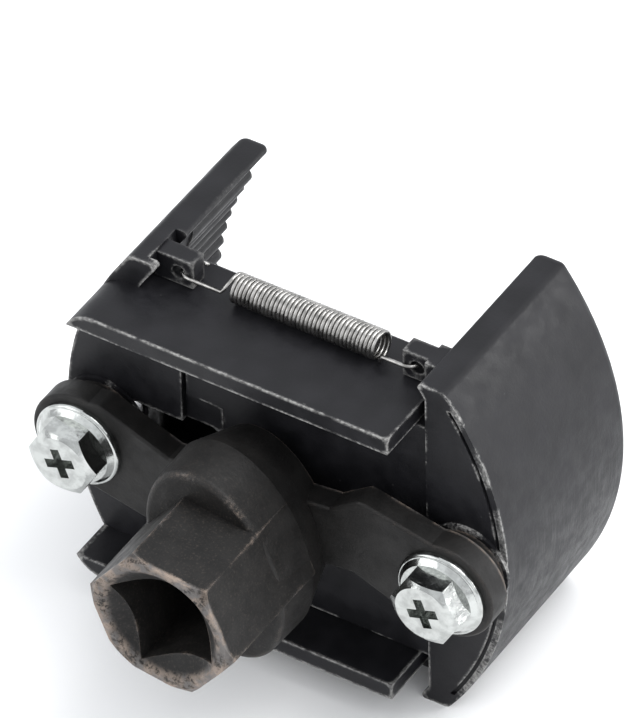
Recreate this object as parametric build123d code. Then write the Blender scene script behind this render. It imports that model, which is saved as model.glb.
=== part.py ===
from build123d import *
from math import cos, sin, sqrt
import os

# Adjustable two-jaw oil filter wrench with a half-inch square drive.
# Each piece is drawn about the drive axis. X is the sliding direction, with the channel jaw at -X and the
# tongue jaw at +X. Y is across the slide, and Z points out of the hex towards the ratchet, with Z = 0 at the
# top of the drive link's arms. place() then lays the tool on its jaws' lower ends, with the drive facing -Y.

# Jaws
jaw_reach = 36.8          # drive axis to the outermost point of each jaw, closed
jaw_half_height = 30.2    # half the chord of the curved walls
wall_radius = 50.0        # radius of the curved walls
wall_thickness = 4.9
wall_depth = 33.1         # from the jaw faces to the tips of the walls
wall_corner = 1.5         # rounding of the walls' ends, outside
wall_inner_corner = 0.6   # the same, inside
tip_round = 1.6
ridge_radius = 1.35       # half-round gripping ridges inside the channel jaw
ridge_pitch = 3.1
ridge_stand = 0.95        # how far a ridge stands out of the wall

# Channel and tongue
face_drop = 6.9           # the flat faces under the link's bosses, below the link's top
lip_rise = 0.4            # flange lips above the link's top
flange_thickness = 2.8
channel_depth = 14.0      # jaw faces to the jaw side of the base plate
plate_thickness = 3.5
plate_bevel = 2.4
channel_corner = 5.0      # rounding where the channel's sides meet the curved wall
window_round = 1.5
channel_end_gap = 1.7     # between the channel's free end and the tongue jaw's face
block_width = 19.6        # the channel jaw's solid face, along X
roof_overlap = 3.9        # the nut's way stays roofed over this much of the nut at full travel
tab_wall = 0.7
tab_drop = 1.1            # the tab's top, below the jaw face
face_side = 3.15          # straight side of the tongue jaw's face
root_drop = 2.0           # the channel jaw's wall beside the flanges, below the jaw face
groove_inset = 1.0        # shallow groove round the tongue jaw's face
groove_width = 0.6
groove_depth = 0.5
tongue_drop = 0.5         # the tongue's top, below the jaw face
tongue_thickness = 5.0
rail_half = 14.0
slide_clearance = 0.3     # between the tongue and the channel
closed_gap = 0.5          # between the tongue's tip and the channel's solid face
travel = 20.0

# Openings of the base plate
window_start = -3.0
window_length = 19.0
window_margin = 8.0       # plate left on each side of the window
round_hole_x = -14.8
round_hole_radius = 7.0
foot_hole_radius = 5.0

# Drive link
pin_inset = 6.5           # a jaw's outermost point to its bolt
link_thickness = 4.0
link_end_radius = 8.1
boss_radius = 6.3
hub_angle = 108.0         # direction of the oval hub's long axis
hub_rim = 0.4             # the hub's short half axis, past the hex's flats
hub_stretch = 5.7         # the hub's long half axis, past its short one
hub_foot = 0.8            # size of the hub where it meets the arms, as a share of its widest
hub_top = 0.98            # the same at the top of its collar
hub_widest = 4.4          # height at which the hub is widest
hub_height = 12.4         # where the hub's collar ends and the hex starts
hub_round = 0.9
arm_waist = (-15.3, 3.7)  # where the left arm's upper edge meets the hub
arm_valley = (11.6, 6.9)  # low point between the hub and the right arm's shoulder
arm_shoulder = (16.6, 10.5)
arm_neck = (3.5, 0.15)         # where the waisted edge turns level: in from the bolt, above the end circle
arm_waist_end = (0.5, 0.3)     # where that edge meets the end circle: in from the bolt, below the circle's top
arm_shoulder_end = (1.5, 0.3)  # the same for the shouldered edge
arm_round = 1.6
arm_edge = 0.5
socket_wall = 4.05        # from a face of the square to a flat of the hex
hex_angle = -8.0
mouth_height = 26.4
mouth_flare = 3.1         # how far the conical mouth opens past the square's faces
mouth_depth = 2.4
mouth_drop = 0.9          # bevel that cuts the hex's corners at the mouth
mouth_inset = 1.2
drive_square = 12.9
square_angle = 22.0
square_depth = 19.0

# Bolts, sleeves, washers and the slide nut
bolt_radius = 3.0
bolt_floor_gap = 1.2      # between the left bolt's tip and the plate
bolt_flange_radius = 7.0
bolt_flange_thickness = 1.0
bolt_skirt_height = 0.8   # the flange's conical top
bolt_skirt_inset = 0.5
bolt_hex = 10.0
bolt_head_height = 5.4
recess_width = 1.5
recess_span = 5.0
recess_depth = 2.4
recess_turn = 20.0
crown_drop = 0.8          # chamfer that rounds the head's top face
crown_inset = 1.3
sleeve_radius = 4.0
washer_radius = 6.9
washer_thickness = 0.6
nut_length = 9.2
nut_half_width = 7.5
nut_thickness = 5.2
thread_end = 0.2          # from the nut's far side to the bolt's tip
running_clearance = 0.05
thread_clearance = 0.02
slot_play = 0.8           # side play of the sleeve in the channel jaw's slot
slot_end_gap = 0.4        # between the closed nut and the end of its way

# Springs
spring_radius = 2.35
spring_wire = 0.65
spring_gap = 0.15         # between a spring and the channel's side
spring_shelter = 0.35     # how far a spring lies inside the walls' ends
spring_drop = 13.7        # below the link's top
hook_inset = 3.16         # the left hook's bend, in from the channel jaw's wall
hook_outset = 4.5         # the right hook's bend, out from the tongue jaw's face
left_shank = 8.5          # a hook's bend to the first turn
right_shank = 6.4
wire_relief = 0.02        # keeps the hooks' wire inside the coil's wall
lug_thickness = 3.0
lug_hole_radius = 1.15
lug_edge = 1.2            # metal left between a lug's hole and its end
lug_root = 4.6            # thickness of the tongue jaw's lugs where they meet its face block
notch_room = 3.5          # half the height of the notches in the channel jaw's wall
notch_reach = 3.6         # how far a notch runs past the hook

bite = 1.0                # how far a solid runs into its neighbour where the two are joined


def arc_x(y, reach):
    """X of the arc with the walls' radius whose outermost point is at reach, on the +X side."""
    return reach - wall_radius + sqrt(wall_radius ** 2 - y ** 2)


# Sizes worked out from those above
face_z = -face_drop
plate_z = face_z - channel_depth
floor_z = plate_z + plate_thickness
tip_z = face_z - wall_depth
tongue_top = face_z - tongue_drop
tongue_bottom = tongue_top - tongue_thickness
lip_z = lip_rise
pin_distance = jaw_reach - pin_inset
spring_y = jaw_half_height - spring_shelter - spring_radius
channel_half = spring_y - spring_radius - spring_gap
channel_inner = channel_half - flange_thickness
window_half = channel_half - window_margin
tongue_face_start = arc_x(jaw_half_height, jaw_reach) - face_side
channel_end = tongue_face_start - channel_end_gap
block_end = block_width - jaw_reach
tongue_tip = block_end + closed_gap
tab_end = travel - pin_distance - nut_length / 2 + roof_overlap
nut_room = nut_half_width + slot_play + slot_end_gap
tab_half = nut_room + tab_wall
bolt_length = -floor_z - bolt_floor_gap
washer_bottom = face_z + running_clearance
boss_bottom = washer_bottom + washer_thickness
nut_top = -bolt_length + nut_thickness + thread_end
cavity_top = nut_top + running_clearance
slot_half = sleeve_radius + slot_play
hex_flats = drive_square + 2 * socket_wall
mouth_radius = drive_square / 2 + mouth_flare
hub_short = hex_flats / 2 + hub_rim
hub_long = hub_short + hub_stretch
spring_z = -spring_drop
hook_left = hook_inset - arc_x(spring_y, jaw_reach - wall_thickness)
hook_right = tongue_face_start - hook_outset
spring_left = hook_left + left_shank
spring_right = hook_right - right_shank
hook_radius = spring_radius - spring_wire / 2
hook_wire_radius = spring_wire / 2 - wire_relief
sleeve_top = running_clearance
pins = (-pin_distance, pin_distance)


def place(shape):
    """Lay the finished piece on the jaws' lower ends, with the bounding box centred on the origin."""
    middle = (mouth_height + tip_z) / 2
    return Pos(0, middle, jaw_half_height) * Rot(90, 0, 0) * shape


def slab(x0, x1, y0, y1, z0, z1):
    """A box between two corners."""
    return Pos((x0 + x1) / 2, (y0 + y1) / 2, (z0 + z1) / 2) * Box(x1 - x0, y1 - y0, z1 - z0)


def rod(x, y, z0, z1, radius):
    """A cylinder along Z."""
    return Pos(x, y, (z0 + z1) / 2) * Cylinder(radius, z1 - z0)


def segment(inner_x, half, z0, z1, corner):
    """The solid between a chord at inner_x and the walls' outer arc, on the +X side."""
    x = arc_x(half, jaw_reach)
    outline = Polyline((x, -half), (inner_x, -half), (inner_x, half), (x, half))
    outline += ThreePointArc((x, half), (jaw_reach, 0), (x, -half))
    face = make_face(outline)
    ends = face.vertices().group_by(Axis.X)[-1]
    face = fillet(ends, corner) if corner else face
    return Pos(0, 0, z0) * extrude(face, z1 - z0)


def wall(z0, z1):
    """A curved jaw wall on the +X side, with rounded ends and a rounded tip."""
    inner = jaw_reach - wall_thickness
    half = jaw_half_height
    outer_x, inner_x = arc_x(half, jaw_reach), arc_x(half, inner)
    outline = ThreePointArc((outer_x, half), (jaw_reach, 0), (outer_x, -half))
    outline += Line((outer_x, -half), (inner_x, -half))
    outline += ThreePointArc((inner_x, -half), (inner, 0), (inner_x, half))
    outline += Line((inner_x, half), (outer_x, half))
    face = make_face(outline)
    face = fillet(face.vertices().group_by(Axis.X)[-1], wall_corner)
    face = fillet(face.vertices().group_by(Axis.X)[0], wall_inner_corner)
    solid = Pos(0, 0, z0) * extrude(face, z1 - z0)
    tip = solid.faces().sort_by(Axis.Z)[0]
    return fillet(tip.edges(), tip_round)


def mirrored(shape):
    """The same piece on the -X side."""
    return mirror(shape, about=Plane.YZ)


def ridges():
    """Half-round ridges along Z inside the channel jaw's wall."""
    inner = jaw_reach - wall_thickness
    centre = inner - wall_radius
    reach = wall_radius + ridge_radius - ridge_stand
    step = ridge_pitch / wall_radius
    last = int((jaw_half_height - wall_corner - ridge_radius) / ridge_pitch)
    bars = []
    for k in range(-last, last + 1):
        x, y = centre + reach * cos(k * step), reach * sin(k * step)
        bars.append(rod(-x, y, tip_z + tip_round, plate_z + bite, ridge_radius))
    return bars


def both_sides(shape):
    """A piece and its mirror image across the slide."""
    return [shape, mirror(shape, about=Plane.XZ)]


def lug(hook_x, root_x):
    """A spring lug that runs from root_x to just past its hook hole, at +Y."""
    end = hook_x + (lug_hole_radius + lug_edge) * (1 if root_x < hook_x else -1)
    y0, y1 = channel_half + slide_clearance, jaw_half_height - spring_shelter
    z0, z1 = spring_z - lug_thickness / 2, spring_z + lug_thickness / 2
    return slab(min(end, root_x), max(end, root_x), y0, y1, z0, z1)


def lug_hole(hook_x):
    """The hole that takes a spring's hook, at +Y."""
    return rod(hook_x, spring_y, spring_z - notch_room, spring_z + notch_room, lug_hole_radius)


def channel_jaw():
    wall_top = face_z - root_drop
    body = mirrored(wall(tip_z, wall_top))
    body += mirrored(segment(-block_end, channel_half, plate_z, lip_z, channel_corner)) - slab(
        -jaw_reach, 0, -channel_inner, channel_inner, face_z, lip_z)
    root = block_end - bite
    floor = slab(root, channel_end, -channel_half, channel_half, plate_z, lip_z)
    body += floor - slab(root, channel_end, -channel_inner, channel_inner, floor_z, lip_z)
    body += slab(root, tab_end, -tab_half, tab_half, floor_z, face_z - tab_drop)
    body += ridges()

    # bevels along the jaw side of the plate, clear of the wall
    bevel_size = plate_bevel * sqrt(2)
    length = channel_end + arc_x(channel_half, jaw_reach - wall_thickness)
    bevel = Rot(45, 0, 0) * Box(length, bevel_size, bevel_size)
    body -= both_sides(Pos(channel_end - length / 2, channel_half, plate_z) * bevel)

    # the left bolt's way: a slot through the face, the nut's room below it, and the plate's holes
    way_end = -pin_distance - nut_length / 2 - slot_end_gap
    body -= rod(-pin_distance, 0, cavity_top - bite, face_z, slot_half)
    body -= slab(-pin_distance, tab_end, -slot_half, slot_half, cavity_top - bite, face_z)
    body -= slab(way_end, tab_end, -nut_room, nut_room, floor_z, cavity_top)
    body -= rod(-pin_distance, 0, plate_z - bite, floor_z, foot_hole_radius)
    body -= rod(round_hole_x, 0, plate_z - bite, floor_z, round_hole_radius)
    window = slab(window_start, window_start + window_length, -window_half, window_half, plate_z, floor_z)
    body -= fillet(window.edges().filter_by(Axis.Z), window_round)

    # spring notches in the wall's foot, each with its lug left standing
    notch = slab(hook_left - notch_reach, 0, channel_half + slide_clearance, 2 * jaw_half_height,
                 spring_z - notch_room, spring_z + notch_room)
    body -= both_sides(notch)
    body += both_sides(lug(hook_left, hook_left - notch_reach - bite / 2))
    return body - both_sides(lug_hole(hook_left))


def tongue_jaw():
    half = jaw_half_height
    body = wall(tip_z, face_z)
    body += segment(tongue_face_start, half, plate_z, face_z, wall_corner)
    tongue_half = channel_inner - slide_clearance
    root = tongue_face_start + bite
    body += slab(tongue_tip, root, -tongue_half, tongue_half, tongue_bottom, tongue_top)
    body += slab(tongue_tip, root, -rail_half, rail_half, floor_z + slide_clearance, tongue_bottom)
    fork_half = tab_half + slide_clearance
    body -= slab(tongue_tip, tab_end + closed_gap, -fork_half, fork_half, plate_z, face_z)
    body -= rod(pin_distance, 0, face_z - bolt_length, face_z, bolt_radius + thread_clearance)

    # a shallow groove sets the face off from the wall's edge
    reach = jaw_reach - groove_inset
    ring = segment(0, half - 2 * wall_corner, face_z - groove_depth, face_z, 0)
    outer = rod(reach - wall_radius, 0, face_z - groove_depth, face_z, wall_radius)
    inner = rod(reach - wall_radius, 0, face_z - groove_depth, face_z, wall_radius - groove_width)
    body -= (outer - inner) & ring

    # spring lugs, thicker where they leave the face block
    z0, z1 = spring_z - lug_root / 2, spring_z + lug_root / 2
    y0, y1 = channel_half + slide_clearance, jaw_half_height - spring_shelter
    foot = slab(hook_right + lug_hole_radius + lug_edge / 2, root, y0, y1, z0, z1)
    body += both_sides(foot)
    body += both_sides(lug(hook_right, root))
    return body - both_sides(lug_hole(hook_right))


def half_turn(point):
    """The matching point of the two-fold symmetric link."""
    return (-point[0], -point[1])


def hub_section(scale, z):
    return Pos(0, 0, z) * Rot(0, 0, hub_angle) * Ellipse(hub_long * scale, hub_short * scale)


def drive_link():
    edge = [
        (arm_waist_end[0] - pin_distance, link_end_radius - arm_waist_end[1]),
        (arm_neck[0] - pin_distance, link_end_radius + arm_neck[1]),
        arm_waist,
        arm_valley,
        arm_shoulder,
        (pin_distance - arm_shoulder_end[0], link_end_radius - arm_shoulder_end[1]),
    ]
    outline = Polyline(*edge, *[half_turn(p) for p in edge], close=True)
    arms = make_face(outline)
    shoulders = [v for v in arms.vertices() if abs(v.Y) > link_end_radius]
    arms = fillet(shoulders, arm_round)
    arms += [Pos(x, 0) * Circle(link_end_radius) for x in pins]
    body = Pos(0, 0, -link_thickness) * extrude(arms, link_thickness)
    body = fillet(body.faces().sort_by(Axis.Z)[-1].edges(), arm_edge)
    body += [rod(x, 0, boss_bottom, bite - link_thickness, boss_radius) for x in pins]

    lower = loft([hub_section(hub_foot, -link_thickness), hub_section(1, hub_widest)])
    upper = loft([hub_section(1, hub_widest), hub_section(hub_top, hub_height)])
    upper = fillet(upper.edges().sort_by(Axis.Z)[-1], hub_round)
    body += lower + upper
    hexagon = RegularPolygon(hex_flats / 2, 6, major_radius=False, rotation=hex_angle)
    crown = rod(0, 0, hub_widest, mouth_height, hex_flats / sqrt(3))
    crown = chamfer(crown.edges().sort_by(Axis.Z)[-1], mouth_drop, mouth_inset)
    body += Pos(0, 0, hub_widest) * extrude(hexagon, mouth_height - hub_widest) & crown

    socket = Rot(0, 0, square_angle) * Box(drive_square, drive_square, square_depth)
    body -= Pos(0, 0, mouth_height - square_depth / 2) * socket
    body -= Pos(0, 0, mouth_height - mouth_depth / 2) * Cone(drive_square / 2, mouth_radius, mouth_depth)
    return body - [rod(x, 0, boss_bottom, bite, sleeve_radius + running_clearance) for x in pins]


def bolt(x):
    """A flanged hex bolt with a cross recess, its flange on the sleeve's end."""
    base = sleeve_top
    top = base + bolt_head_height
    body = rod(x, 0, base - bolt_length, base + bolt_flange_thickness, bolt_radius)
    flange = rod(x, 0, base, base + bolt_flange_thickness, bolt_flange_radius)
    body += fillet(flange.edges().sort_by(Axis.Z)[-1], bolt_flange_thickness / 2)
    skirt = Cone(bolt_flange_radius - bolt_skirt_inset, bolt_hex / sqrt(3), bolt_skirt_height)
    body += Pos(x, 0, base + bolt_flange_thickness + bolt_skirt_height / 2) * skirt
    head = Pos(x, 0, base) * extrude(RegularPolygon(bolt_hex / 2, 6, major_radius=False), bolt_head_height)
    crown = rod(x, 0, base, top, bolt_hex / sqrt(3))
    crown = chamfer(crown.edges().sort_by(Axis.Z)[-1], crown_drop, crown_inset)
    body += head & crown
    for turn in (0, 90):
        body -= Pos(x, 0, top - recess_depth / 2) * Rot(0, 0, turn + recess_turn) * Box(
            recess_span, recess_width, recess_depth)
    return body


def sleeve(x, bottom):
    bore = rod(x, 0, bottom, sleeve_top, bolt_radius + thread_clearance)
    return rod(x, 0, bottom, sleeve_top, sleeve_radius) - bore


def washer(x, bottom):
    hole = rod(x, 0, bottom, bottom + washer_thickness, sleeve_radius + running_clearance)
    return rod(x, 0, bottom, bottom + washer_thickness, washer_radius) - hole


def slide_nut():
    x0, x1 = -pin_distance - nut_length / 2, -pin_distance + nut_length / 2
    body = slab(x0, x1, -nut_half_width, nut_half_width, nut_top - nut_thickness, nut_top)
    return body - rod(-pin_distance, 0, nut_top - nut_thickness, nut_top, bolt_radius + thread_clearance)


def hook(x_coil, x_hook):
    """A hook of round wire: straight from the coil's end, then round through the lug's hole."""
    toward = 1 if x_hook > x_coil else -1
    centre = x_hook - toward * hook_radius
    start = (x_coil - toward, spring_y, spring_z + hook_radius)
    path = Line(start, (centre, spring_y, spring_z + hook_radius))
    path += ThreePointArc((centre, spring_y, spring_z + hook_radius), (x_hook, spring_y, spring_z),
                          (centre, spring_y, spring_z - hook_radius))
    wire = Plane(origin=start, z_dir=(toward, 0, 0)) * Circle(hook_wire_radius)
    return sweep(wire, path=path)


def spring():
    """The upper spring as a sleeve of the coil's size, with a hook at each end."""
    length = spring_right - spring_left
    coil = Cylinder(spring_radius, length) - Cylinder(spring_radius - spring_wire, length)
    coil = Pos((spring_left + spring_right) / 2, spring_y, spring_z) * Rot(0, 90, 0) * coil
    return coil + hook(spring_left, hook_left) + hook(spring_right, hook_right)


left_pin, right_pin = pins
pieces = {
    "channel_jaw": channel_jaw(),
    "tongue_jaw": tongue_jaw(),
    "drive_link": drive_link(),
    "left_bolt": bolt(left_pin),
    "right_bolt": bolt(right_pin),
    "left_sleeve": sleeve(left_pin, nut_top),
    "right_sleeve": sleeve(right_pin, face_z),
    "left_washer": washer(left_pin, washer_bottom),
    "right_washer": washer(right_pin, face_z),
    "slide_nut": slide_nut(),
    "upper_spring": spring(),
    "lower_spring": mirror(spring(), about=Plane.XZ),
}

os.makedirs("parts", exist_ok=True)
for name, piece in pieces.items():
    export_step(place(piece), f"parts/{name}.step")
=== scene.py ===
"""Adjustable two-jaw oil filter wrench: finishes, wound springs and a studio round its model."""

import bmesh
import bpy
from math import cos, pi, radians, sin
from mathutils import Matrix, Vector


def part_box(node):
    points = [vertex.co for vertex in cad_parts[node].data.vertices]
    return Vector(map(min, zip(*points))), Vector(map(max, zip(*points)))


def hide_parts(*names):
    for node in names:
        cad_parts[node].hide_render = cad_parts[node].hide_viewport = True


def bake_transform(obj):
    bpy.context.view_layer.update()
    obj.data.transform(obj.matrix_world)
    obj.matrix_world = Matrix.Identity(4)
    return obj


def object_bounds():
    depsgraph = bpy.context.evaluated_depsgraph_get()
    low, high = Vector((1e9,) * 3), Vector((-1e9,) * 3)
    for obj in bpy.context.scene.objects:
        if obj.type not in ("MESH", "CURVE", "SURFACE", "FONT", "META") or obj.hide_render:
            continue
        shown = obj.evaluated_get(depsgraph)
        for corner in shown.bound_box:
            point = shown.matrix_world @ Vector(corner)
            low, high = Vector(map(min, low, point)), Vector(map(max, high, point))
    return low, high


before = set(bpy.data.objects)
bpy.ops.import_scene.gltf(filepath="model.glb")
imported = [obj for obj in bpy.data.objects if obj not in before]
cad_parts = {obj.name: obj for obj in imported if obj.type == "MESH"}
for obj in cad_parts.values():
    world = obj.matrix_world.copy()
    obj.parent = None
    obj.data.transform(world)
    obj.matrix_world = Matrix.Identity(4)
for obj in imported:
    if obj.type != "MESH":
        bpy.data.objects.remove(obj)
CAD_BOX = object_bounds()

bl_info = {
    "name": "Oil filter wrench",
    "version": (1, 0, 0),
    "blender": (4, 5, 0),
    "location": "3D View > Sidebar > Wrench",
    "description": "Finishes an adjustable two-jaw oil filter wrench and sets it in a plain studio",
    "category": "Object",
}

MM = 0.001
MOUTH = CAD_BOX[0][1]       # the plane of the hex's open end, on the drive side
HEX_FOOT = -9 * MM          # where the link's wear begins, going towards the mouth
LIPS = 2 * MM               # the jaws' handled front lips lie before this plane
BACK = 8 * MM               # and their less worn backs lie behind this one


# Properties

class FinishSettings(bpy.types.PropertyGroup):
    enamel: bpy.props.FloatVectorProperty(
        name="Enamel", description="Semi-gloss black of the two jaws",
        subtype="COLOR", size=3, min=0, max=1, default=(0.0078, 0.0077, 0.0092))
    enamel_bloom: bpy.props.FloatVectorProperty(
        name="Enamel bloom", description="Greyer patches of the enamel",
        subtype="COLOR", size=3, min=0, max=1, default=(0.0128, 0.0126, 0.0147))
    bare_edge: bpy.props.FloatVectorProperty(
        name="Bare edge", description="Metal that shows where the enamel is rubbed off",
        subtype="COLOR", size=3, min=0, max=1, default=(0.30, 0.295, 0.285))
    dull_edge: bpy.props.FloatVectorProperty(
        name="Dull edge", description="Bare metal that has darkened again",
        subtype="COLOR", size=3, min=0, max=1, default=(0.10, 0.098, 0.096))
    scratch: bpy.props.FloatVectorProperty(
        name="Brush marks", description="Fine upright lines low on the tongue jaw's wall",
        subtype="COLOR", size=3, min=0, max=1, default=(0.055, 0.055, 0.056))
    oxide: bpy.props.FloatVectorProperty(
        name="Black oxide", description="Brownish black of the drive link",
        subtype="COLOR", size=3, min=0, max=1, default=(0.0080, 0.0076, 0.0074))
    oxide_bloom: bpy.props.FloatVectorProperty(
        name="Oxide bloom", description="Greyer patches of the black oxide",
        subtype="COLOR", size=3, min=0, max=1, default=(0.0130, 0.0122, 0.0116))
    oxide_rub: bpy.props.FloatVectorProperty(
        name="Rubbed oxide", description="Tan of the link's worn edges",
        subtype="COLOR", size=3, min=0, max=1, default=(0.25, 0.20, 0.165))
    grey_rub: bpy.props.FloatVectorProperty(
        name="Grey rub", description="Greyer patches of the worn edges",
        subtype="COLOR", size=3, min=0, max=1, default=(0.13, 0.12, 0.115))
    plate: bpy.props.FloatVectorProperty(
        name="Bright plate", description="Zinc plate of the bolts",
        subtype="COLOR", size=3, min=0, max=1, default=(0.52, 0.535, 0.52))
    plate_shade: bpy.props.FloatVectorProperty(
        name="Dull plate", description="Tarnished patches of the zinc plate",
        subtype="COLOR", size=3, min=0, max=1, default=(0.38, 0.39, 0.38))
    steel: bpy.props.FloatVectorProperty(
        name="Turned steel", description="Sleeves and the slide nut",
        subtype="COLOR", size=3, min=0, max=1, default=(0.42, 0.42, 0.43))
    steel_shade: bpy.props.FloatVectorProperty(
        name="Dull steel", description="Tarnished patches of the turned steel",
        subtype="COLOR", size=3, min=0, max=1, default=(0.28, 0.28, 0.28))
    wire: bpy.props.FloatVectorProperty(
        name="Spring wire", description="Drawn wire of the springs",
        subtype="COLOR", size=3, min=0, max=1, default=(0.42, 0.41, 0.395))
    wire_shade: bpy.props.FloatVectorProperty(
        name="Dull wire", description="Tarnished patches of the wire",
        subtype="COLOR", size=3, min=0, max=1, default=(0.24, 0.235, 0.225))
    edge_width: bpy.props.FloatProperty(
        name="Edge wear width", description="How far wear reaches from an edge",
        subtype="DISTANCE", min=0, default=0.95 * MM)


class SpringSettings(bpy.types.PropertyGroup):
    turns: bpy.props.IntProperty(
        name="Turns", description="Close turns between the hooks", min=4, default=38)
    wire: bpy.props.FloatProperty(
        name="Wire", description="Diameter of the wire", subtype="DISTANCE", default=0.62 * MM)
    lead: bpy.props.FloatProperty(
        name="Lead", description="How far the first and the last turn open out to meet the hooks",
        subtype="DISTANCE", default=1.1 * MM)
    hook_tip: bpy.props.FloatProperty(
        name="Hook tip", description="Straight end of the wire past the hook's half circle",
        subtype="DISTANCE", default=0.8 * MM)
    left_hook: bpy.props.FloatProperty(
        name="Left hook", description="From the left hook's outer end to the first turn",
        subtype="DISTANCE", default=8.8 * MM)
    right_hook: bpy.props.FloatProperty(
        name="Right hook", description="From the last turn to the right hook's outer end",
        subtype="DISTANCE", default=6.7 * MM)
    sides: bpy.props.IntProperty(
        name="Wire sides", description="Faces round the wire", min=5, default=8)
    turn_steps: bpy.props.IntProperty(
        name="Steps", description="Rings of faces in each turn", min=8, default=22)


class StageSettings(bpy.types.PropertyGroup):
    floor: bpy.props.FloatProperty(
        name="Floor", description="Side of the floor", subtype="DISTANCE", default=6.0)
    paper: bpy.props.FloatVectorProperty(
        name="Paper", description="Pale floor",
        subtype="COLOR", size=3, min=0, max=1, default=(0.93, 0.93, 0.93))
    paper_bloom: bpy.props.FloatVectorProperty(
        name="Paper bloom", description="Lighter patches of the floor",
        subtype="COLOR", size=3, min=0, max=1, default=(0.95, 0.95, 0.95))
    azimuth: bpy.props.FloatProperty(
        name="Azimuth", description="Camera's direction round the wrench", subtype="ANGLE",
        default=radians(32.9))
    elevation: bpy.props.FloatProperty(
        name="Elevation", description="Camera's height above the horizon", subtype="ANGLE",
        default=radians(42.0))
    roll: bpy.props.FloatProperty(
        name="Roll", description="Camera's turn about its own line of sight", subtype="ANGLE",
        default=radians(-1.4))
    distance: bpy.props.FloatProperty(
        name="Distance", description="Camera to the point it looks at", subtype="DISTANCE",
        default=1.377)
    lens: bpy.props.FloatProperty(
        name="Lens", description="Focal length in millimetres", default=488.0)


# Node helpers

class Finish:
    """A principled material that is built up from procedural nodes in object space."""

    def __init__(self, name, metallic, roughness, specular=0.5):
        self.material = bpy.data.materials.new(name)
        self.material.use_nodes = True
        self.nodes = self.material.node_tree.nodes
        self.links = self.material.node_tree.links
        self.shader = self.nodes["Principled BSDF"]
        self.shader.inputs["Metallic"].default_value = metallic
        self.shader.inputs["Roughness"].default_value = roughness
        self.shader.inputs["Specular IOR Level"].default_value = specular
        self.place = self.nodes.new("ShaderNodeTexCoord").outputs["Object"]

    def put(self, value, socket):
        """Link an output, or set a plain value."""
        if isinstance(value, bpy.types.NodeSocket):
            self.links.new(value, socket)
        else:
            socket.default_value = value

    def stretch(self, scale):
        """Object position scaled along each axis."""
        node = self.nodes.new("ShaderNodeMapping")
        self.links.new(self.place, node.inputs["Vector"])
        node.inputs["Scale"].default_value = scale
        return node.outputs["Vector"]

    def noise(self, size, detail=3.0, rough=0.55, scale=(1, 1, 1), distortion=0.0):
        """Noise whose blotches are about size metres wide."""
        node = self.nodes.new("ShaderNodeTexNoise")
        self.links.new(self.stretch(scale), node.inputs["Vector"])
        node.inputs["Scale"].default_value = 1 / size
        node.inputs["Detail"].default_value = detail
        node.inputs["Roughness"].default_value = rough
        node.inputs["Distortion"].default_value = distortion
        return node.outputs["Fac"]

    def specks(self, size):
        """Distance to the nearest of many scattered points."""
        node = self.nodes.new("ShaderNodeTexVoronoi")
        self.links.new(self.place, node.inputs["Vector"])
        node.inputs["Scale"].default_value = 1 / size
        return node.outputs["Distance"]

    def spread(self, value, low, high, to_low=0.0, to_high=1.0):
        """A smooth step of a value: to_low at low and to_high at high."""
        node = self.nodes.new("ShaderNodeMapRange")
        node.interpolation_type = "SMOOTHSTEP"
        self.links.new(value, node.inputs["Value"])
        node.inputs["From Min"].default_value = low
        node.inputs["From Max"].default_value = high
        node.inputs["To Min"].default_value = to_low
        node.inputs["To Max"].default_value = to_high
        return node.outputs["Result"]

    def math(self, operation, a, b):
        """A sum or product, kept between 0 and 1."""
        node = self.nodes.new("ShaderNodeMath")
        node.operation = operation
        node.use_clamp = True
        self.put(a, node.inputs[0])
        self.put(b, node.inputs[1])
        return node.outputs["Value"]

    def mix(self, factor, a, b):
        """One colour blended into another."""
        node = self.nodes.new("ShaderNodeMix")
        node.data_type = "RGBA"
        self.put(factor, node.inputs["Factor"])
        for value, socket in ((a, node.inputs[6]), (b, node.inputs[7])):
            self.put(value if isinstance(value, bpy.types.NodeSocket) else (*value, 1), socket)
        return node.outputs[2]

    def edges(self, width):
        """1 at sharp outer edges and 0 on open faces."""
        node = self.nodes.new("ShaderNodeAmbientOcclusion")
        node.inside = True
        node.only_local = True
        node.samples = 8
        node.inputs["Distance"].default_value = width
        return self.spread(node.outputs["AO"], 0.95, 0.55)

    def worn(self, width, ragged, amount):
        """Edges that are rubbed bare in ragged patches, more of them with a larger amount."""
        patches = self.spread(self.noise(7 * MM, 3), 0.35, 0.62)
        patchy = self.math("ADD", self.math("MULTIPLY", patches, 0.65), 0.35)
        chipped = self.math("MULTIPLY", self.math("MULTIPLY", ragged, patchy), 0.75)
        reach = self.math("ADD", self.math("MULTIPLY", self.edges(width), 0.55), chipped)
        return self.spread(reach, 0.92 - 0.25 * amount, 1.0 - 0.2 * amount)

    def facing(self, name):
        """How far the surface faces along one axis."""
        node = self.nodes.new("ShaderNodeSeparateXYZ")
        normal = self.nodes.new("ShaderNodeNewGeometry").outputs["True Normal"]
        self.links.new(normal, node.inputs["Vector"])
        return node.outputs[name]

    def axis(self, name):
        """One coordinate of the position."""
        node = self.nodes.new("ShaderNodeSeparateXYZ")
        self.links.new(self.place, node.inputs["Vector"])
        return node.outputs[name]

    def bump(self, height, strength, distance, below=None):
        """Relief on the surface, on top of any relief below."""
        node = self.nodes.new("ShaderNodeBump")
        node.inputs["Strength"].default_value = strength
        node.inputs["Distance"].default_value = distance
        self.links.new(height, node.inputs["Height"])
        if below is not None:
            self.links.new(below, node.inputs["Normal"])
        return node.outputs["Normal"]

    def finish(self, color, roughness, normal):
        """Close the node tree and hand over the material."""
        self.put(color, self.shader.inputs["Base Color"])
        self.put(roughness, self.shader.inputs["Roughness"])
        self.put(normal, self.shader.inputs["Normal"])
        return self.material


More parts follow.
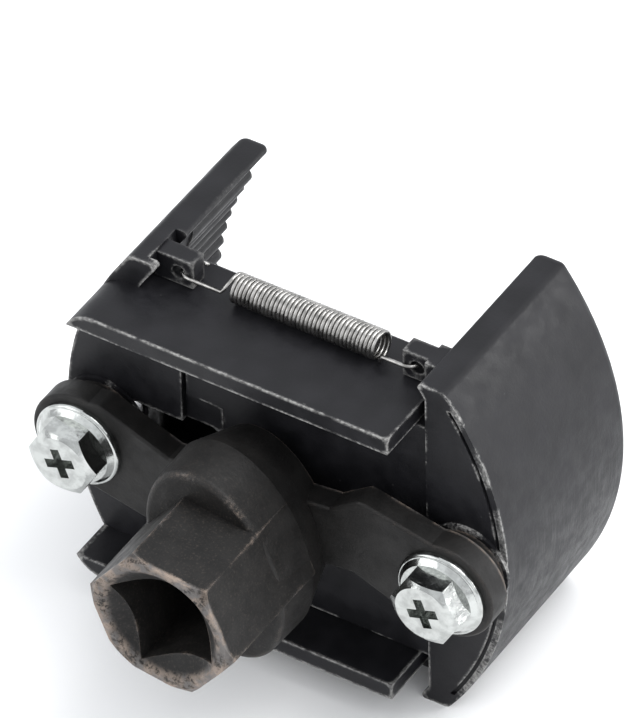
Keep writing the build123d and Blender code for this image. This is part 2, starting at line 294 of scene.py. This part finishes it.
def enamel(name, chips=0.5, brushed=False):
    """Semi-gloss black enamel on cast steel, rubbed to bare metal along its outer edges."""
    look = bpy.context.scene.wrench_finish
    skin = Finish(name, 0.0, 0.42, 0.23)
    blotch = skin.spread(skin.noise(5 * MM, 5), 0.35, 0.7)
    color = skin.mix(blotch, tuple(look.enamel), tuple(look.enamel_bloom))
    wear = skin.worn(look.edge_width, skin.noise(0.7 * MM, 6, 0.75), chips)
    handled = skin.spread(skin.axis("Y"), BACK, LIPS, 0.30, 1.0)
    wear = skin.math("MULTIPLY", wear, handled)
    flecks = skin.spread(skin.specks(2.3 * MM), 0.09, 0.04)
    fleck_patch = skin.spread(skin.noise(14 * MM, 2), 0.55, 0.64)
    flecks = skin.math("MULTIPLY", flecks, fleck_patch)
    color = skin.mix(skin.math("MULTIPLY", flecks, 0.12), color, tuple(look.bare_edge))
    dulled = skin.spread(skin.noise(0.5 * MM, 4), 0.35, 0.65)
    metal_tone = skin.mix(dulled, tuple(look.bare_edge), tuple(look.dull_edge))
    color = skin.mix(wear, color, metal_tone)
    grain = skin.noise(0.45 * MM, 5, 0.65)
    normal = skin.bump(grain, 0.30, 0.08 * MM)
    normal = skin.bump(skin.noise(3.5 * MM, 3), 0.22, 0.25 * MM, normal)
    rough = skin.spread(skin.noise(2.5 * MM, 5), 0.3, 0.7, 0.40, 0.54)
    if brushed:
        lines = skin.noise(0.40 * MM, 4, 0.7, (1, 1, 0.05), 0.35)
        low_half = skin.spread(skin.axis("Z"), 40 * MM, 20 * MM)
        low = skin.math("MULTIPLY", low_half, skin.spread(skin.facing("X"), 0.25, 0.45))
        scratch = skin.math("MULTIPLY", skin.spread(lines, 0.50, 0.66), low)
        color = skin.mix(skin.math("MULTIPLY", scratch, 0.55), color, tuple(look.scratch))
        normal = skin.bump(skin.math("MULTIPLY", lines, low), 0.55, 0.14 * MM, normal)
    return skin.finish(color, rough, normal)


def black_oxide():
    """Brownish black oxide on a forging, tan where the sockets and the bench have rubbed it."""
    look = bpy.context.scene.wrench_finish
    skin = Finish("black_oxide", 0.0, 0.45, 0.22)
    blotch = skin.spread(skin.noise(4 * MM, 5, 0.6), 0.35, 0.68)
    color = skin.mix(blotch, tuple(look.oxide), tuple(look.oxide_bloom))
    toward_mouth = skin.spread(skin.axis("Y"), HEX_FOOT, HEX_FOOT - 11 * MM)
    ragged = skin.noise(0.6 * MM, 6, 0.75)
    edges = skin.worn(look.edge_width, ragged, 0.8)
    rubbed = skin.worn(look.edge_width * 1.5, ragged, 1.3)
    rim = skin.math("MULTIPLY", skin.spread(skin.axis("Y"), MOUTH + 0.9 * MM, MOUTH + 0.1 * MM),
                    skin.spread(skin.noise(0.8 * MM, 5, 0.7), 0.36, 0.56))
    wear = skin.math("ADD", skin.math("MULTIPLY", edges, 0.45),
                     skin.math("MULTIPLY", rubbed, toward_mouth))
    wear = skin.math("ADD", wear, skin.math("MULTIPLY", rim, 0.8))
    greyed = skin.spread(skin.noise(1.6 * MM, 3), 0.4, 0.6)
    tan = skin.mix(greyed, tuple(look.oxide_rub), tuple(look.grey_rub))
    color = skin.mix(wear, color, tan)
    dust = skin.spread(skin.noise(0.35 * MM, 4, 0.7), 0.52, 0.70)
    dust = skin.math("MULTIPLY", dust, toward_mouth)
    color = skin.mix(skin.math("MULTIPLY", dust, 0.09), color, tuple(look.oxide_rub))
    normal = skin.bump(skin.noise(0.5 * MM, 5, 0.65), 0.35, 0.10 * MM)
    normal = skin.bump(skin.noise(4 * MM, 3), 0.28, 0.30 * MM, normal)
    rough = skin.spread(skin.noise(2.5 * MM, 4), 0.3, 0.7, 0.42, 0.58)
    return skin.finish(color, rough, normal)


def metal(name, color, shade, rough, grain):
    """Bare or plated metal with faint tarnish and tool marks."""
    skin = Finish(name, 1.0, rough[0])
    tarnish = skin.spread(skin.noise(1.8 * MM, 4, 0.6), 0.38, 0.66)
    color = skin.mix(tarnish, tuple(color), tuple(shade))
    roughness = skin.spread(skin.noise(1.2 * MM, 4), 0.3, 0.7, *rough)
    normal = skin.bump(skin.noise(0.35 * MM, 3), grain, 0.05 * MM)
    normal = skin.bump(skin.noise(2.2 * MM, 2), 0.35, 0.30 * MM, normal)
    return skin.finish(color, roughness, normal)


def dress(names, material):
    """Give whole CAD nodes one material."""
    for name in names:
        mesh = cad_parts[name].data
        mesh.materials.clear()
        mesh.materials.append(material)


# Springs

def coil_path(axis, radius, x0, x1, sizes):
    """Points of the close turns along X, which start and end on the drive side of the spring."""
    total = sizes.turns * sizes.turn_steps
    points = []
    for k in range(total + 1):
        share = k / total
        angle = 2 * pi * sizes.turns * share
        x = x0 + (x1 - x0) * share
        from_end = min(k, total - k) / sizes.turn_steps
        if from_end < 0.25:
            ease = (1 - from_end / 0.25) ** 2 * sizes.lead
            x += -ease if share < 0.5 else ease
        points.append(axis + Vector((x, -radius * cos(angle), radius * sin(angle))))
    return points


def hook_path(axis, radius, x_hook, toward, tip, steps=12):
    """Points of a hook, from its free end behind the lug to where the coil is joined."""
    centre = x_hook - toward * radius
    points = [axis + Vector((centre - toward * tip, radius * 0.96, 0))]
    for k in range(steps + 1):
        angle = pi * k / steps
        x = centre + toward * radius * sin(angle)
        points.append(axis + Vector((x, radius * cos(angle), 0)))
    return points


def tube(name, points, radius, sides):
    """A round wire along a line of points, with closed ends."""
    mesh = bmesh.new()
    rings = []
    side = Vector((0, 0, 1))
    for k, point in enumerate(points):
        ahead = points[min(k + 1, len(points) - 1)] - points[max(k - 1, 0)]
        ahead.normalize()
        side = (side - ahead * side.dot(ahead)).normalized()
        other = ahead.cross(side)
        ring = []
        for s in range(sides):
            angle = 2 * pi * s / sides
            ring.append(mesh.verts.new(point + (side * cos(angle) + other * sin(angle)) * radius))
        rings.append(ring)
    for a, b in zip(rings, rings[1:]):
        for s in range(sides):
            t = (s + 1) % sides
            mesh.faces.new((a[s], a[t], b[t], b[s]))
    mesh.faces.new(rings[0][::-1])
    mesh.faces.new(rings[-1])
    bmesh.ops.recalc_face_normals(mesh, faces=mesh.faces)
    data = bpy.data.meshes.new(name)
    mesh.to_mesh(data)
    mesh.free()
    data.polygons.foreach_set("use_smooth", [True] * len(data.polygons))
    piece = bpy.data.objects.new(name, data)
    bpy.context.scene.collection.objects.link(piece)
    return piece


def wound_spring(node):
    """The wound coil and hooks that stand for one of the CAD springs."""
    sizes = bpy.context.scene.wrench_springs
    low, high = (Vector(corner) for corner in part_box(node))
    axis = Vector((0, (low.y + high.y) / 2, (low.z + high.z) / 2))
    wire_edge = sizes.wire / 2
    radius = (high.z - low.z) / 2 - wire_edge
    left = hook_path(axis, radius, low.x + wire_edge, -1, sizes.hook_tip)
    right = hook_path(axis, radius, high.x - wire_edge, 1, sizes.hook_tip)
    coil = coil_path(axis, radius, low.x + sizes.left_hook, high.x - sizes.right_hook, sizes)
    piece = tube(node + "_wound", left + coil + right[::-1], wire_edge, sizes.sides)
    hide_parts(node)
    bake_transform(piece)
    return piece


# Operators

class WRENCH_OT_jaws(bpy.types.Operator):
    """Enamel the two jaws"""
    bl_idname = "wrench.jaws"
    bl_label = "Jaws"

    def execute(self, context):
        dress(["channel_jaw"], enamel("channel_enamel", chips=1.1))
        dress(["tongue_jaw"], enamel("tongue_enamel", chips=0.75, brushed=True))
        return {"FINISHED"}


class WRENCH_OT_drive_link(bpy.types.Operator):
    """Blacken the drive link"""
    bl_idname = "wrench.drive_link"
    bl_label = "Drive link"

    def execute(self, context):
        dress(["drive_link"], black_oxide())
        return {"FINISHED"}


class WRENCH_OT_fasteners(bpy.types.Operator):
    """Plate the bolts and finish the sleeves, washers and slide nut"""
    bl_idname = "wrench.fasteners"
    bl_label = "Fasteners"

    def execute(self, context):
        look = context.scene.wrench_finish
        dress(["left_bolt", "right_bolt"],
              metal("bright_plate", look.plate, look.plate_shade, (0.10, 0.24), 0.30))
        dress(["left_sleeve", "right_sleeve", "slide_nut"],
              metal("turned_steel", look.steel, look.steel_shade, (0.28, 0.45), 0.35))
        dress(["left_washer", "right_washer"], enamel("washer_black", chips=0.5))
        return {"FINISHED"}


class WRENCH_OT_springs(bpy.types.Operator):
    """Wind the two springs"""
    bl_idname = "wrench.springs"
    bl_label = "Springs"

    def execute(self, context):
        look = context.scene.wrench_finish
        wire = metal("spring_wire", look.wire, look.wire_shade, (0.22, 0.38), 0.2)
        for node in ("upper_spring", "lower_spring"):
            wound_spring(node).data.materials.append(wire)
        return {"FINISHED"}


# Stage

LAMPS = (  # name, place from the wrench's centre (m), side (m), power (W)
    ("key", (0.25, 0.10, 0.55), 0.35, 1.9),
    ("side", (0.55, -0.25, 0.20), 0.30, 0.3),
    ("rim", (0.46, 0.38, 0.16), 0.22, 1.3),
    ("fill", (-0.45, -0.40, 0.30), 0.45, 1.0),
)
AIM = Vector((-0.4, 10.5, 46.5)) * MM   # the point that the camera looks at


def area_light(name, place, aim, size, power):
    """A square soft lamp that faces a point."""
    data = bpy.data.lights.new(name, "AREA")
    data.size = size
    data.energy = power
    lamp = bpy.data.objects.new(name, data)
    lamp.location = place
    lamp.rotation_mode = "QUATERNION"
    lamp.rotation_quaternion = (aim - place).to_track_quat("-Z", "Y")
    bpy.context.scene.collection.objects.link(lamp)


def lay_floor(scene, sizes):
    """The pale floor that the wrench stands on."""
    half = sizes.floor / 2
    corners = [(-half, -half, 0), (half, -half, 0), (half, half, 0), (-half, half, 0)]
    data = bpy.data.meshes.new("floor")
    data.from_pydata(corners, [], [(0, 1, 2, 3)])
    floor = bpy.data.objects.new("floor", data)
    scene.collection.objects.link(floor)
    paper = Finish("pale_paper", 0.0, 0.9, 0.1)
    patches = paper.spread(paper.noise(0.4, 2), 0.3, 0.7)
    shade = paper.mix(patches, tuple(sizes.paper), tuple(sizes.paper_bloom))
    tooth = paper.bump(paper.noise(2 * MM, 2), 0.02, 0.05 * MM)
    data.materials.append(paper.finish(shade, 0.9, tooth))


def light_studio(scene):
    """A sky that brightens towards the zenith, and the lamps."""
    world = bpy.data.worlds.new("studio")
    world.use_nodes = True
    sky = world.node_tree
    height = sky.nodes.new("ShaderNodeSeparateXYZ")
    place = sky.nodes.new("ShaderNodeTexCoord").outputs["Generated"]
    sky.links.new(place, height.inputs["Vector"])
    glow = sky.nodes.new("ShaderNodeMapRange")
    sky.links.new(height.outputs["Z"], glow.inputs["Value"])
    for name, value in (("From Min", 0.05), ("From Max", 0.9), ("To Min", 0.85), ("To Max", 1.40)):
        glow.inputs[name].default_value = value
    sky.links.new(glow.outputs["Result"], sky.nodes["Background"].inputs["Strength"])
    sky.nodes["Background"].inputs["Color"].default_value = (0.95, 0.97, 1.0, 1)
    scene.world = world
    centre = (Vector(CAD_BOX[0]) + Vector(CAD_BOX[1])) / 2
    for name, offset, size, power in LAMPS:
        area_light(name, centre + Vector(offset), centre, size, power)


def place_camera(scene, sizes):
    """The camera on its sphere round the aim, rolled about its line of sight."""
    back = Vector((sin(sizes.azimuth) * cos(sizes.elevation),
                   -cos(sizes.azimuth) * cos(sizes.elevation),
                   sin(sizes.elevation)))
    lens = bpy.data.cameras.new("camera")
    lens.lens = sizes.lens
    lens.clip_start = 0.01
    lens.clip_end = 20
    camera = bpy.data.objects.new("camera", lens)
    camera.rotation_mode = "QUATERNION"
    roll = Matrix.Rotation(sizes.roll, 3, "Z").to_quaternion()
    camera.rotation_quaternion = (-back).to_track_quat("-Z", "Y") @ roll
    camera.location = AIM + back * sizes.distance
    scene.collection.objects.link(camera)
    scene.camera = camera


class WRENCH_OT_stage(bpy.types.Operator):
    """Lay the floor, set the lights and place the camera"""
    bl_idname = "wrench.stage"
    bl_label = "Stage"

    def execute(self, context):
        scene = context.scene
        sizes = scene.wrench_stage
        lay_floor(scene, sizes)
        light_studio(scene)
        place_camera(scene, sizes)
        scene.view_settings.view_transform = "Standard"
        return {"FINISHED"}


class WRENCH_PT_panel(bpy.types.Panel):
    """Lists the steps that finish the wrench"""
    bl_label = "Oil filter wrench"
    bl_idname = "WRENCH_PT_panel"
    bl_space_type = "VIEW_3D"
    bl_region_type = "UI"
    bl_category = "Wrench"

    def draw(self, context):
        for step in STEPS:
            self.layout.operator(step.bl_idname)


STEPS = (
    WRENCH_OT_stage,
    WRENCH_OT_jaws,
    WRENCH_OT_drive_link,
    WRENCH_OT_fasteners,
    WRENCH_OT_springs,
)
GROUPS = {
    "wrench_finish": FinishSettings,
    "wrench_springs": SpringSettings,
    "wrench_stage": StageSettings,
}
CLASSES = (*GROUPS.values(), *STEPS, WRENCH_PT_panel)


def register():
    for group in CLASSES:
        bpy.utils.register_class(group)
    for name, group in GROUPS.items():
        setattr(bpy.types.Scene, name, bpy.props.PointerProperty(type=group))


def unregister():
    for name in GROUPS:
        delattr(bpy.types.Scene, name)
    for group in reversed(CLASSES):
        bpy.utils.unregister_class(group)


def main():
    register()
    bpy.ops.wrench.stage()
    bpy.ops.wrench.jaws()
    bpy.ops.wrench.drive_link()
    bpy.ops.wrench.fasteners()
    bpy.ops.wrench.springs()


if __name__ == "__main__":
    main()
